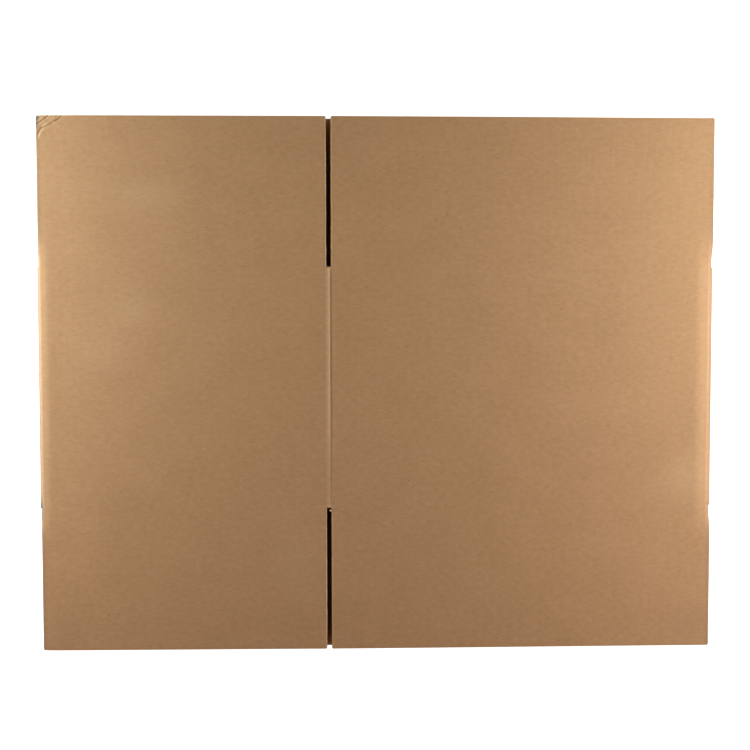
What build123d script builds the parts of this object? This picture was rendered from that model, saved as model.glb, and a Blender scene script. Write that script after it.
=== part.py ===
from build123d import *

import os
from math import asin, atan2, cos, hypot, pi, sin

# A regular slotted carton of corrugated board, knocked down flat.
#
# One blank, slotted and scored, is folded over on two of its corner scores and glued to
# itself along one tab. It lies as it came off the stack: the lower layer is flat on the
# floor, and the upper layer has sprung up from it, highest along its corner score.
#
# Millimetres. +X runs across the flutes, +Y along them, +Z up. The origin is in the
# middle of the footprint, on the floor. The solid has the outer form of the board, whose
# flutes are a finer texture.

# ------------------------------------------------------------ the box, once set up
box_length = 400.0  # long panels, score to score
box_width = 300.0  # short panels, score to score
box_height = 250.0  # between the flap scores
flap_length = box_width / 2  # facing flaps meet in the middle of the width

# ------------------------------------------------------------ board, slots and scores
board = 3.0  # B flute, over both liners
neutral_depth = 2.3  # of the layer that keeps its length round a fold, below the outer face
slot_width = 5.0
slot_overrun = 0.7  # the slots are cut this far past the flap scores
feed_error = 2.7  # the sheet was slotted this far off, so its flaps on +Y are longer
score_width = 5.0  # of the groove on the inner face
score_depth = 0.9
bead_width = 3.0  # of the ridge that the corner score raises on the outer face
bead_height = 0.35
flap_rounding = 1.0  # at the free corners of each flap

# ------------------------------------------------------------ how it lies
tight_fold = 6.0  # outer radius of the fold on the left
loose_fold = 7.0  # and of the one on the right, which has sprung open more
crown_height = 14.5  # top of the upper layer, at its corner score

# ------------------------------------------------------------ glue joint
tab_width = 35.0
tab_board = 1.8  # the tab is crushed before it is glued
tab_relief = 3.0  # it stops short of each flap score
tab_taper = 8.0  # and each end slants by this much
joint_gap = 1.5  # between the tab's score and the edge of the panel beside it
joint_ramp = 7.0  # over which the board climbs on to that panel

# ------------------------------------------------------------ worked out
half_height = box_height / 2
half_length = half_height + flap_length
sleeve_half = half_height - slot_overrun
tight_bend = (tight_fold - neutral_depth) * pi / 2  # a quarter turn, along that layer
loose_bend = (loose_fold - neutral_depth) * pi / 2


def climb(run, radius):
    """The angle at which a panel leaves its fold to reach the height of the crown."""
    return asin((crown_height - radius) / hypot(run, radius)) - atan2(radius, run)


class Panel:
    """The straight outer face of one panel, from its fold to its corner score.

    centre is the centre of the fold, towards is +1 where the panel runs to +X of it,
    and the face leaves the fold at the angle tilt. Points are in the section, (X, Z).
    """

    def __init__(self, centre, radius, run, towards, tilt=0.0, upper=False):
        self.run = run
        self.along = Vector(towards * cos(tilt), sin(tilt))
        self.outward = Vector(-towards * sin(tilt), cos(tilt)) if upper else Vector(0, -1)
        self.start = centre + self.outward * radius
        self.end = self.at(run)

    def at(self, distance, depth=0.0):
        """The point this far from the fold and this deep below the outer face."""
        return self.start + self.along * distance - self.outward * depth

    def strip(self, begin, finish):
        """The corners of the board's section between two distances from the fold."""
        return [self.at(begin), self.at(finish), self.at(finish, board), self.at(begin, board)]

    def across(self, distance, depth, y):
        """A plane across the panel's run, at this place in it, with its X outward."""
        origin = self.at(distance, depth)
        x_dir = (self.outward.X, 0, self.outward.Y)
        return Plane((origin.X, y, origin.Y), x_dir=x_dir, z_dir=(self.along.X, 0, self.along.Y))


def score_profile():
    """The shallow valley of a score, about the centre of its arc, with +X outward."""
    Circle(groove_radius)
    with Locations((groove_radius - score_depth, 0)):
        Rectangle(2 * score_depth, 2 * groove_radius, mode=Mode.INTERSECT)


def crown_offset(run, radius):
    """How far in X a panel's corner score is from the centre of its fold."""
    tilt = climb(run, radius)
    return run * cos(tilt) - radius * sin(tilt)


short_run = box_width - tight_bend
long_run = box_length - loose_bend
tight_reach = tight_bend - slot_width / 2  # the flaps' edges, past the fold centres
loose_reach = loose_bend - slot_width / 2
fold_span = crown_offset(short_run, tight_fold) + crown_offset(long_run, loose_fold)
overhang = max(tight_fold, tight_reach) - max(loose_fold, loose_reach)
tight_x = (overhang - fold_span) / 2  # which puts the footprint about the origin
tight_centre = Vector(tight_x, tight_fold)
loose_centre = Vector(tight_x + fold_span, loose_fold)

upper_short = Panel(tight_centre, tight_fold, short_run, 1, climb(short_run, tight_fold), True)
upper_long = Panel(loose_centre, loose_fold, long_run, -1, climb(long_run, loose_fold), True)
lower_long = Panel(tight_centre, tight_fold, box_length - tight_bend, 1)
lower_short = Panel(loose_centre, loose_fold, box_width - loose_bend - joint_gap, -1)
crown = upper_short.end
joint = lower_long.end  # the tab's score
panels = [
    (upper_short, tight_reach),
    (upper_long, loose_reach),
    (lower_long, tight_reach),
    (lower_short, loose_reach),
]
middle = Plane.XZ.offset(feed_error)  # halfway along the sleeve, and facing -Y
groove_radius = (score_width**2 / 4 + score_depth**2) / (2 * score_depth)
groove_centre = board - score_depth + groove_radius  # below the outer face
tab_half = half_height - tab_relief
tiny = 0.001  # for telling lengths apart

# ------------------------------------------------------------ the carton
with BuildPart() as folded_box:
    # The sleeve: the four panels round, as one loop of board.
    with BuildSketch(middle):
        with BuildLine():
            Line(lower_long.start, lower_short.start)
            ThreePointArc(lower_short.start, loose_centre + (loose_fold, 0), upper_long.start)
            Polyline(upper_long.start, crown, upper_short.start)
            ThreePointArc(upper_short.start, tight_centre - (tight_fold, 0), lower_long.start)
        make_face()
        offset(amount=-board, kind=Kind.INTERSECTION, mode=Mode.SUBTRACT)
    extrude(amount=sleeve_half, both=True)

    # The lower layer is open at the glue joint, where the blank's two ends meet.
    with BuildSketch(middle):
        with Locations((joint.X + joint_gap / 2, board / 2)):
            Rectangle(joint_gap, board)
    extrude(amount=sleeve_half, both=True, mode=Mode.SUBTRACT)

    # The tab carries on from one end over the other, on the inner face.
    with BuildSketch(Plane((0, -feed_error, board))):
        with BuildLine():
            Polyline(
                (joint.X, -tab_half),
                (joint.X + tab_width, tab_taper - tab_half),
                (joint.X + tab_width, tab_half - tab_taper),
                (joint.X, tab_half),
                close=True,
            )
        make_face()
    extrude(amount=tab_board)
    with BuildSketch(middle):
        with BuildLine():
            Polyline(
                (joint.X - joint_ramp, board),
                (joint.X, board),
                (joint.X, board + tab_board),
                close=True,
            )
        make_face()
    extrude(amount=tab_half, both=True)

    # Eight flaps, in line with their panels. The slots between them cut the folds away,
    # so their edges stay straight and stand beside the folds.
    for end in (-1, 1):
        with BuildSketch(middle.offset(end * sleeve_half)):
            for panel, reach in panels:
                with BuildLine():
                    Polyline(*panel.strip(-reach, panel.run - slot_width / 2), close=True)
                make_face()
        extrude(amount=end * (half_length - sleeve_half) - feed_error)
        tip_edges = folded_box.edges().group_by(Axis.Y)[-1 if end < 0 else 0]
        fillet(tip_edges.filter_by(lambda edge: abs(edge.length - board) < tiny), flap_rounding)

    # Flap scores: a groove in the inner face of every panel, at each end of the sleeve. It
    # runs from the fold's centre, and stops short of the fold itself.
    for end in (-1, 1):
        for panel, _ in panels:
            with BuildSketch(panel.across(0, groove_centre, end * half_height - feed_error)):
                score_profile()
            extrude(amount=panel.run, mode=Mode.SUBTRACT)

    # The corner score at the crown: a groove inside, and the bead it raises outside.
    groove_middle = (crown.X, -feed_error, crown.Y - groove_centre)
    with BuildSketch(Plane(groove_middle, x_dir=(0, 0, 1), z_dir=(0, 1, 0))):
        score_profile()
    extrude(amount=sleeve_half, both=True, mode=Mode.SUBTRACT)
    with BuildSketch(middle):
        with Locations(crown):
            Ellipse(bead_width / 2, bead_height)
    extrude(amount=sleeve_half, both=True)

folded_box.part.label = "folded_box"

os.makedirs("parts", exist_ok=True)
export_step(folded_box.part, "parts/folded_box.step")
size = folded_box.part.bounding_box().size
print(f"folded_box: {size.X:.1f} x {size.Y:.1f} x {size.Z:.1f} mm")
print(f"solids: {len(folded_box.solids())}, volume {folded_box.part.volume / 1000:.0f} cm3")
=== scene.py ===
# %% [markdown]
# # A knocked-down carton
# A regular slotted carton leaves its maker as one sheet: a blank of corrugated board,
# slotted and scored, folded over flat on two of its corner scores and glued along a tab.
# It could be modelled as a box with boxes for flaps. It is better to work as the maker
# does: make the flat blank with its two liners and the fluted medium between them, then
# fold every point of it. Whatever is true of the blank, such as the flutes, the slots and
# the scores, is then true of the folded carton too.

# %% The frame
from math import asin, atan2, cos, hypot, pi, radians, sin

import bpy
import bmesh
import numpy as np
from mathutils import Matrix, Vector


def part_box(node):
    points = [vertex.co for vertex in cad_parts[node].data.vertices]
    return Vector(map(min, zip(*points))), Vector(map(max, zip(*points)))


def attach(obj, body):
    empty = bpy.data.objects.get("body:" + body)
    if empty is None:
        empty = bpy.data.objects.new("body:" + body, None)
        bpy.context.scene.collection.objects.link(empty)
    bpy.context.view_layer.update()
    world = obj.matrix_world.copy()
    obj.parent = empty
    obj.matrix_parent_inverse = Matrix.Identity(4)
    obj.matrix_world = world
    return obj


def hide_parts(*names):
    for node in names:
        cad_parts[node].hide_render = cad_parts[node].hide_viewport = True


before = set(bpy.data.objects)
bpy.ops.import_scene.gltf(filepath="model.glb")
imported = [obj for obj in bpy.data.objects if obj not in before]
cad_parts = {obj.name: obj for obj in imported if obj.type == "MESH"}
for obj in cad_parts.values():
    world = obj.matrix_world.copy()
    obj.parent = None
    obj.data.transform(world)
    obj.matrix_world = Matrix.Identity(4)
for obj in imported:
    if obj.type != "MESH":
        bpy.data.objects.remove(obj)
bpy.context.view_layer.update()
MM = 0.001
low, high = (np.array(corner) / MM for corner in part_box("folded_box"))
print("the CAD carton in millimetres:", np.round(high - low, 2))

# %% [markdown]
# ## Sizes
# The carton sets up to 400 x 300 x 250 mm, in B flute board 3 mm thick. The sizes are
# those of the CAD part, so both come out the same. The sheet was slotted 2.7 mm off its
# middle, so the flaps on +Y are the longer ones, and the sleeve lies between LOW_END and
# HIGH_END in Y. The crown's slots also drifted a millimetre off its score, which the CAD
# part leaves out. Lengths are in millimetres until a mesh is made.

# %% Sizes of the carton and its board
BOX_LENGTH, BOX_WIDTH, BOX_HEIGHT = 400.0, 300.0, 250.0
FLAP = BOX_WIDTH / 2
BOARD = 3.0
NEUTRAL = 2.3
LINER = 0.28
MEDIUM = 0.22
FLUTE_PITCH = 6.4
SLOT = 5.0
SLOT_OVERRUN = 0.7
SLOT_DRIFT = 1.0
FEED_ERROR = 2.7
SCORE_DEPTH = 0.9
SCORE_HALF = 1.7
TIGHT_FOLD, LOOSE_FOLD = 6.0, 7.0
CROWN_HEIGHT = 14.5
TAB_WIDTH, TAB_BOARD, TAB_TAPER, TAB_RELIEF = 35.0, 1.8, 8.0, 3.0
JOINT_GAP, JOINT_RAMP = 1.5, 7.0

SLEEVE_HALF = BOX_HEIGHT / 2 - SLOT_OVERRUN
HALF = BOX_HEIGHT / 2 + FLAP
LOW_END, HIGH_END = -FEED_ERROR - SLEEVE_HALF, -FEED_ERROR + SLEEVE_HALF

# %% [markdown]
# ## Folding
# A fold doesn't stretch the sheet. So a point is named by where it is on the flat blank:
# *along*, in millimetres from the glue tab's score round the sleeve, *y*, along the
# flutes, and *depth* below the outer face. Each of the four panels is a straight run that
# curls over at its fold. Between the slots the curl dies away in 40 mm, which is why the
# flaps' edges stand a little outside the folds.

# %% One panel, as it lies in the flat carton
UNCURL = 40.0


def climb(run, radius):
    """The angle at which a panel leaves its fold to reach the height of the crown."""
    return asin((CROWN_HEIGHT - radius) / hypot(run, radius)) - atan2(radius, run)


class Panel:
    """A straight run of board from its fold, and the quarter turn that it folds by.

    The outer liner stretches round a fold, and the layer at the depth NEUTRAL keeps its
    length, so start, end and radius are that layer's.
    """

    def __init__(self, centre, radius, run, towards, tilt, upper):
        self.radius, self.run = radius - NEUTRAL, run
        self.ahead = np.array([towards * cos(tilt), sin(tilt)])
        above = np.array([-towards * sin(tilt), cos(tilt)])
        self.outward = above if upper else np.array([0.0, -1.0])
        self.start = np.array(centre) + self.outward * self.radius
        self.end = self.start + self.ahead * run
        self.quarter = self.radius * (pi / 2 - tilt)
        self.reach = self.radius * pi / 2 - SLOT / 2
        self.far_cut = run - SLOT / 2

    def place(self, distance, y, depth):
        """X and Z of points at these distances from the fold, which curls those below 0."""
        over = np.maximum(-distance, 0.0)
        beyond = np.clip((np.abs(y + FEED_ERROR) - SLEEVE_HALF) / UNCURL, 0.0, 1.0)
        curl = (1 - beyond**2 * (3 - 2 * beyond)) / self.radius
        turn = np.maximum(curl * over, 1e-6)
        back = over * np.sin(turn) / turn
        down = over * (1 - np.cos(turn)) / turn
        line = np.maximum(distance, 0.0) - back
        normal = np.cos(turn)[..., None] * self.outward - np.sin(turn)[..., None] * self.ahead
        layer = self.start + line[..., None] * self.ahead - down[..., None] * self.outward
        return layer + (NEUTRAL - depth)[..., None] * normal


tight_bend = (TIGHT_FOLD - NEUTRAL) * pi / 2
loose_bend = (LOOSE_FOLD - NEUTRAL) * pi / 2
short_run, long_run = BOX_WIDTH - tight_bend, BOX_LENGTH - loose_bend
short_tilt = climb(short_run, TIGHT_FOLD)
long_tilt = climb(long_run, LOOSE_FOLD)
fold_span = (short_run * cos(short_tilt) - TIGHT_FOLD * sin(short_tilt)
             + long_run * cos(long_tilt) - LOOSE_FOLD * sin(long_tilt))
overhang = max(TIGHT_FOLD, tight_bend - SLOT / 2) - max(LOOSE_FOLD, loose_bend - SLOT / 2)
tight_x = (overhang - fold_span) / 2
tight_centre = (tight_x, TIGHT_FOLD)
loose_centre = (tight_x + fold_span, LOOSE_FOLD)

upper_short = Panel(tight_centre, TIGHT_FOLD, short_run, 1, short_tilt, True)
upper_long = Panel(loose_centre, LOOSE_FOLD, long_run, -1, long_tilt, True)
lower_long = Panel(tight_centre, TIGHT_FOLD, BOX_LENGTH - tight_bend, 1, 0.0, False)
lower_short = Panel(loose_centre, LOOSE_FOLD, BOX_WIDTH - loose_bend - JOINT_GAP, -1, 0.0, False)
upper_short.far_cut -= SLOT_DRIFT
upper_long.far_cut += SLOT_DRIFT
joint_x = lower_long.end[0]
print("crown at", np.round(upper_short.end, 2), " joint at", round(joint_x, 2))

# %% [markdown]
# ## The blank
# Along the blank the panels follow one another: long, short, long, short, with a fold or
# a score between each two. One function says which panel a point belongs to, and so
# where it goes.

# %% Places along the blank
LONG_START = lower_long.run
SHORT_START = LONG_START + lower_long.quarter + upper_short.quarter
CROWN = SHORT_START + upper_short.run
LONG_END = CROWN + upper_long.run
LAST_START = LONG_END + upper_long.quarter + lower_short.quarter
BLANK_END = LAST_START + lower_short.run
TIGHT_MID = LONG_START + lower_long.quarter
LOOSE_MID = LONG_END + upper_long.quarter
LEFT_CUT, RIGHT_CUT = CROWN - SLOT / 2 - SLOT_DRIFT, CROWN + SLOT / 2 - SLOT_DRIFT

PANELS = [
    (lower_long, LONG_START, -1, 0.0, TIGHT_MID),
    (upper_short, SHORT_START, 1, TIGHT_MID, CROWN),
    (upper_long, LONG_END, -1, CROWN, LOOSE_MID),
    (lower_short, LAST_START, 1, LOOSE_MID, BLANK_END),
]


def fold(along, y, depth):
    """Where points of the blank are in the folded carton, as an array of X, Y, Z."""
    along, y, depth = np.broadcast_arrays(along, y, depth)
    places = np.zeros(along.shape + (3,))
    for panel, start, direction, first, last in PANELS:
        here = (along >= first) & ((along < last) | (last == BLANK_END))
        spot = panel.place(direction * (along[here] - start), y[here], depth[here])
        places[here] = np.stack([spot[:, 0], y[here], spot[:, 1]], axis=1)
    return places


print("the blank is", round(BLANK_END + TAB_WIDTH), "by", round(2 * HALF), "mm")

# %% [markdown]
# ## From blank to mesh
# Each liner is a thin closed shell. It starts as a grid of rows and columns on the flat
# blank, with a line on every cut and score and more of them where the surface is uneven.
# The cells in the slots are left out, every remaining outline gets a wall, and each point
# is folded. The blank's own places are kept in a UV map, so that a pattern can follow
# the board round its folds.

# %% Rows, columns and shells
def lines(*stretches):
    """Places from stretches of (first, last, widest step), each with both its ends."""
    parts = [np.linspace(a, b, max(2, int(round((b - a) / widest)) + 1))
             for a, b, widest in stretches]
    places = np.concatenate(parts)
    return places[np.concatenate([[True], np.diff(places) > 1e-6])]


def flap_zone_kept(along):
    """Whether board is left at this place along the blank, beyond the flap scores."""
    kept = np.zeros(np.shape(along), bool)
    for panel, start, direction, _, _ in PANELS:
        distance = direction * (along - start)
        kept |= (distance > -panel.reach) & (distance < panel.far_cut)
    return kept


def in_sleeve(y):
    """Whether a place along the flutes is between the slots."""
    return np.abs(y + FEED_ERROR) < SLEEVE_HALF


def shell(name, along, y, outer_depth, inner_depth):
    """A closed sheet of paper between two depths over the blank, less its slots."""
    middle_a, middle_y = (along[1:] + along[:-1]) / 2, (y[1:] + y[:-1]) / 2
    kept = flap_zone_kept(middle_a)[:, None] | in_sleeve(middle_y)[None, :]
    grid_a, grid_y = rounded_corners(*np.meshgrid(along, y, indexing="ij"))
    top = fold(grid_a, grid_y, outer_depth(grid_a, grid_y))
    bottom = fold(grid_a, grid_y, inner_depth(grid_a, grid_y))
    blank_places = np.stack([grid_a, grid_y], axis=-1)
    return mesh_piece(name, *closed_sheet(top, bottom, kept), blank_places)


def closed_sheet(top, bottom, kept=None):
    """Points and faces of a sheet between two grids of points, walled round its outline."""
    count_y, total = top.shape[1], top.shape[0] * top.shape[1]
    if kept is None:
        kept = np.ones((top.shape[0] - 1, count_y - 1), bool)

    def quads_at(cells):
        i, j = np.nonzero(cells)
        corner = i * count_y + j
        return np.stack([corner, corner + count_y, corner + count_y + 1, corner + 1], axis=1)

    quads, padded = quads_at(kept), np.pad(kept, 1)
    faces = [quads, quads[:, ::-1] + total]
    for di, dj, first, second in ((-1, 0, 3, 0), (1, 0, 1, 2), (0, -1, 0, 1), (0, 1, 2, 3)):
        beside = padded[1 + di:padded.shape[0] - 1 + di, 1 + dj:padded.shape[1] - 1 + dj]
        ring = quads_at(kept & ~beside)
        a, b = ring[:, first], ring[:, second]
        faces.append(np.stack([b, a, a + total, b + total], axis=1))
    return np.concatenate([top.reshape(-1, 3), bottom.reshape(-1, 3)]), np.concatenate(faces)


CORNER = 1.4


def rounded_corners(grid_a, grid_y):
    """Pulls in the points at the flaps' free corners, which the die leaves a little round."""
    grid_a, grid_y = grid_a.copy(), grid_y.copy()
    for panel, start, direction, _, _ in PANELS:
        for cut, inward in ((start - direction * panel.reach, direction),
                            (start + direction * panel.far_cut, -direction)):
            for tip in (-HALF, HALF):
                from_cut = (grid_a - cut) * inward
                from_tip = HALF - grid_y * np.sign(tip)
                here = (from_cut > -1e-6) & (from_cut < CORNER) & (from_tip < CORNER)
                reach_a, reach_y = CORNER - from_cut[here], CORNER - from_tip[here]
                longest = np.maximum(reach_a, reach_y)
                pull = longest / np.maximum(np.hypot(reach_a, reach_y), 1e-9)
                grid_a[here] = cut + inward * (CORNER - reach_a * pull)
                grid_y[here] = (HALF - CORNER + reach_y * pull) * np.sign(tip)
    return grid_a, grid_y


def mesh_piece(name, points, faces, blank_places, sharp=0.6):
    """An object from points in millimetres, with unused points left out.

    Edges that turn by more than the sharp angle, in radians, aren't smoothed.
    """
    blank_places = np.tile(blank_places.reshape(-1, 2), (2, 1))
    used, index = np.unique(faces, return_inverse=True)
    index = index.reshape(faces.shape)
    mesh = bpy.data.meshes.new(name)
    mesh.vertices.add(len(used))
    mesh.vertices.foreach_set("co", (points[used] * MM).astype(np.float32).ravel())
    mesh.loops.add(index.size)
    mesh.loops.foreach_set("vertex_index", index.ravel().astype(np.int32))
    mesh.polygons.add(len(index))
    loop_starts = np.arange(0, index.size, index.shape[1], dtype=np.int32)
    mesh.polygons.foreach_set("loop_start", loop_starts)
    mesh.update(calc_edges=True)
    layer = mesh.uv_layers.new(name="blank")
    corner_places = blank_places[used][index.ravel()] * MM
    layer.data.foreach_set("uv", corner_places.astype(np.float32).ravel())
    mesh.shade_smooth()
    mesh.set_sharp_from_angle(angle=sharp)
    piece = bpy.data.objects.new(name, mesh)
    bpy.context.collection.objects.link(piece)
    print(f"{name}: {2 * len(index)} triangles")
    return piece


# %% [markdown]
# ## Unevenness
# A flat sheet of board isn't flat. The outer liner sinks a few hundredths of a millimetre
# between the flutes, which shows as a washboard in low light, most of all where one corner
# has been damp, and the panels are dished by a fraction of a millimetre. The scores press
# the inner liner in, the corner score raises a ridge on the outer one, and the upper layer
# bows down into a soft shoulder before each fold. Each of these is a depth added to the
# blank. They could be sculpted, but a formula stays where it is put, and three simple
# curves are enough to write them all with.

# %% Three curves for the relief
CREASE_FADE = 0.2


def bump(distance, half_width):
    """1 at no distance, falling smoothly to nothing by about twice the half width."""
    return np.exp(-(distance / half_width) ** 2)


def step(value, first, last):
    """Rises smoothly from 0 at first to 1 at last."""
    share = np.clip((value - first) / (last - first), 0.0, 1.0)
    return share**2 * (3 - 2 * share)


def crease(along, y, start, end, half_width, bow=0.0):
    """1 on a line of the blank from start to end, falling off across it and at its ends."""
    start, end = np.array(start), np.array(end)
    length = np.hypot(*(end - start))
    ahead = (end - start) / length
    travel = (along - start[0]) * ahead[0] + (y - start[1]) * ahead[1]
    across = (y - start[1]) * ahead[0] - (along - start[0]) * ahead[1]
    share = np.clip(travel / length, 0.0, 1.0)
    begun, ended = step(share, 0.0, CREASE_FADE), step(share, 1 - CREASE_FADE, 1.0)
    return bump(across - 4 * bow * share * (1 - share), half_width) * begun * (1 - ended)


print("a bump falls to", round(float(bump(1.0, 1.0)), 2), "of its height at its half width")

# %% [markdown]
# The top corner over the tight fold has been knocked. Three creases cut across it, its tip
# is pushed down, and a few finer marks lie elsewhere, where the carton was handled. They
# are placed from that corner, or from the loose fold, in millimetres on the blank.

# %% Knocks and marks on the upper layer
KNOCKED = np.array([SHORT_START - upper_short.reach, HALF])
LOWER_CORNER = np.array([SHORT_START - upper_short.reach, -HALF])
TIP_DEPTH, LOWER_DEPTH = 1.3, 0.9
CREASES = (
    # Start and end from the knocked corner, half width, depth and bow. A ridge's depth is
    # below 0.
    ((4.0, -14.8), (30.0, 2.0), 0.8, 0.65, -1.0),
    ((8.0, -9.5), (22.0, 0.5), 0.8, -0.3, -0.8),
    ((-2.0, -11.0), (17.0, 3.0), 0.8, 0.75, -0.6),
    ((0.5, -25.0), (8.5, -10.0), 0.9, 0.35, 1.2),
    ((6.0, -3.5), (13.0, -8.5), 0.7, -0.25, 0.0),
    ((10.5, -114.0), (40.0, -124.5), 0.8, 0.12, 1.0),
    ((33.0, -238.0), (41.0, -258.0), 1.0, 0.10, 0.0),
)
BRUISE_START, BRUISE_END = (LONG_END - 118.0, -104.0), (LONG_END - 64.0, -66.0)
BRUISE_HALF, BRUISE_DEPTH = 9.0, 0.35
DENT, DENT_HALF, DENT_DEPTH = (LONG_END - 22.0, -93.0), 14.0, 0.3


def knocks(along, y):
    """Depth of the marks that handling has left on the upper layer."""
    from_tip = np.hypot(along - KNOCKED[0], KNOCKED[1] - y)
    from_lower = np.hypot(along - LOWER_CORNER[0], y - LOWER_CORNER[1])
    depth = TIP_DEPTH * bump(from_tip, 3.5) + LOWER_DEPTH * bump(from_lower, 3.0)
    for start, end, half_width, deep, bow in CREASES:
        depth += deep * crease(along, y, KNOCKED + start, KNOCKED + end, half_width, bow)
    bruise = crease(along, y, BRUISE_START, BRUISE_END, BRUISE_HALF)
    dent = bump(np.hypot(along - DENT[0], y - DENT[1]), DENT_HALF)
    return depth + BRUISE_DEPTH * bruise + DENT_DEPTH * dent


print("the knocked tip is pushed in by", round(float(knocks(*KNOCKED)), 2), "mm")

# %% [markdown]
# Between its slots the board nears each fold with a soft shoulder, longer at the loose one.
# The dish of the panels is two slow waves, and it dies away before the folds, so that they
# keep their round.

# %% Relief of the whole board
# Each shoulder has its slope, its length and the length over which the slope grows.
TIGHT_SHOULDER, LOOSE_SHOULDER = (0.14, 8.0, 8.0), (0.18, 14.5, 8.5)
DISH, DISH_FADE = 0.3, 25.0
WAVE_ALONG, WAVE_ACROSS = 61.0, 83.0


def shoulder(distance, slope, length, rise, quarter):
    """How far a panel bows down as it nears its fold, which is at no distance.

    Its slope grows over the rise and then holds. Nothing of it is left at the fold's nose.
    """
    inside = np.clip(length - distance, 0.0, length + quarter)
    drop = slope * np.where(inside < rise, inside**2 / (2 * rise), inside - rise / 2)
    return drop * (1 - step(-distance, 0.25 * quarter, quarter))


def board_push(along, y):
    """How far the whole board is pushed in. The lower layer lies flat on the floor."""
    risen = step(along, SHORT_START, SHORT_START + DISH_FADE)
    upper = risen * (1 - step(along, LONG_END - DISH_FADE, LONG_END))
    waves = 0.5 + 0.5 * np.sin(along / WAVE_ALONG + 0.6) * np.sin(y / WAVE_ACROSS + 1.1)
    bowed = (shoulder(along - SHORT_START, *TIGHT_SHOULDER, upper_short.quarter)
             + shoulder(LONG_END - along, *LOOSE_SHOULDER, upper_long.quarter))
    bowed = bowed * (1 - step(np.abs(y + FEED_ERROR), SLEEVE_HALF, SLEEVE_HALF + UNCURL))
    top = (along > TIGHT_MID) & (along < LOOSE_MID)
    return DISH * waves * upper + np.where(top, bowed + knocks(along, y), 0.0)


print("the shoulders drop by", *(round(float(shoulder(0.0, *given, 1.0)), 2)
                                 for given in (TIGHT_SHOULDER, LOOSE_SHOULDER)), "mm")

# %% [markdown]
# The corner score at the crown lies between the two panels of the upper layer. The liner
# climbs to a ridge from one side and drops off at the other. Where the slots cut the
# blank, the knife has pressed the board together, so its edges are thinner. The folds press
# it together too.

# %% Relief of the score and the edges
RIDGE, RIDGE_PLACE = 0.5, -0.2
RIDGE_RISE, RIDGE_FALL = 4.0, 1.1
RIDGE_HOLLOW, HOLLOW_START, HOLLOW_END = 0.3, -25.0, RIDGE_FALL + 6.0
LOW_SHARE, FULL_FROM = 0.55, -15.0
EDGE_PRESS, EDGE_REACH, TIP_PRESS = 0.35, 0.8, 0.3
EDGE_FADE, RIDGE_FADE = 1.5, 2.0
FOLD_CRUSH, TIGHT_HALF, LOOSE_HALF = 0.3, 4.0, 6.0


def crush(along):
    """The share of the board's thickness that the folds press out of it."""
    at_folds = bump(along - TIGHT_MID, TIGHT_HALF) + bump(along - LOOSE_MID, LOOSE_HALF)
    return FOLD_CRUSH * at_folds


def pressed_edge(along, y):
    """How far each face is pressed in beside a slot, in millimetres."""
    depth = np.zeros(np.shape(along))
    for panel, start, direction, _, _ in PANELS:
        for cut in (start - direction * panel.reach, start + direction * panel.far_cut):
            depth = np.maximum(depth, bump(along - cut, EDGE_REACH))
    beyond = np.clip((np.abs(y + FEED_ERROR) - SLEEVE_HALF) / EDGE_FADE, 0.0, 1.0)
    tips = TIP_PRESS * bump(HALF - np.abs(y), EDGE_REACH)
    return EDGE_PRESS * np.maximum(depth * beyond, tips)


def sleeve_share(y):
    """1 in the sleeve, falling to 0 in the last 2 mm before the slots."""
    return np.clip((SLEEVE_HALF - np.abs(y + FEED_ERROR)) / RIDGE_FADE, 0.0, 1.0)


def ridge_share(along, y):
    """0 at the foot of the ridge to 1 on its crest, and about half that at its low end."""
    off_ridge = along - CROWN - RIDGE_PLACE
    climbed = np.clip(1 + off_ridge / RIDGE_RISE, 0.0, 1.0)
    climbed = climbed * (1 - step(off_ridge, 0.0, RIDGE_FALL))
    height = LOW_SHARE + (1 - LOW_SHARE) * step(y, LOW_END, FULL_FROM)
    return climbed * height * sleeve_share(y)


def ridge(along, y):
    """How far the outer liner stands up along the crown's score."""
    off_ridge = along - CROWN - RIDGE_PLACE
    hollow = step(off_ridge, HOLLOW_START, -RIDGE_RISE)
    hollow = hollow * (1 - step(off_ridge, -RIDGE_RISE, HOLLOW_END))
    return RIDGE * ridge_share(along, y) - RIDGE_HOLLOW * hollow * sleeve_share(y)


print("the ridge stands", round(float(ridge(CROWN + RIDGE_PLACE, 0.0)), 2), "mm up")

# %% [markdown]
# The two faces of the board gather all of this. The outer one has the washboard as well,
# three times as deep in the damp corner as elsewhere, and the inner one has the scores.

# %% Relief of the two faces
WASHBOARD = 0.03
DRY_SHARE, DAMP_SHARE = 0.4, 0.8


def outer_face(along, y):
    """Depth of the face outside the box."""
    damp = DRY_SHARE + DAMP_SHARE * step(along, CROWN + 30, LONG_END - 60) * step(y, 30.0, 200.0)
    ripple = WASHBOARD * damp * (1 - np.cos(2 * pi * along / FLUTE_PITCH)) / 2
    return board_push(along, y) + ripple + pressed_edge(along, y) - ridge(along, y)


def inner_face(along, y):
    """Depth of the face inside the box, pressed in along the scores."""
    flap_score = bump(np.abs(y + FEED_ERROR) - BOX_HEIGHT / 2, SCORE_HALF)
    pressed = SCORE_DEPTH * np.maximum(flap_score, bump(along - CROWN, SCORE_HALF))
    return board_push(along, y) + BOARD * (1 - crush(along)) - pressed - pressed_edge(along, y)


mid_panel = SHORT_START + BOX_WIDTH / 2
board_there = inner_face(mid_panel, 0.0) - outer_face(mid_panel, 0.0)
print("the board is", round(float(board_there), 2), "mm thick in the middle of a panel")

# %% [markdown]
# ## The liners
# The outer liner is made in four pieces, one a panel, only because it has so many faces.
# Its columns are a sixth of a flute apart, and closer beside the cuts and at the crown. Its
# rows are wide apart, except at the corners, near the folds' ends and at the knocked corner.

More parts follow.
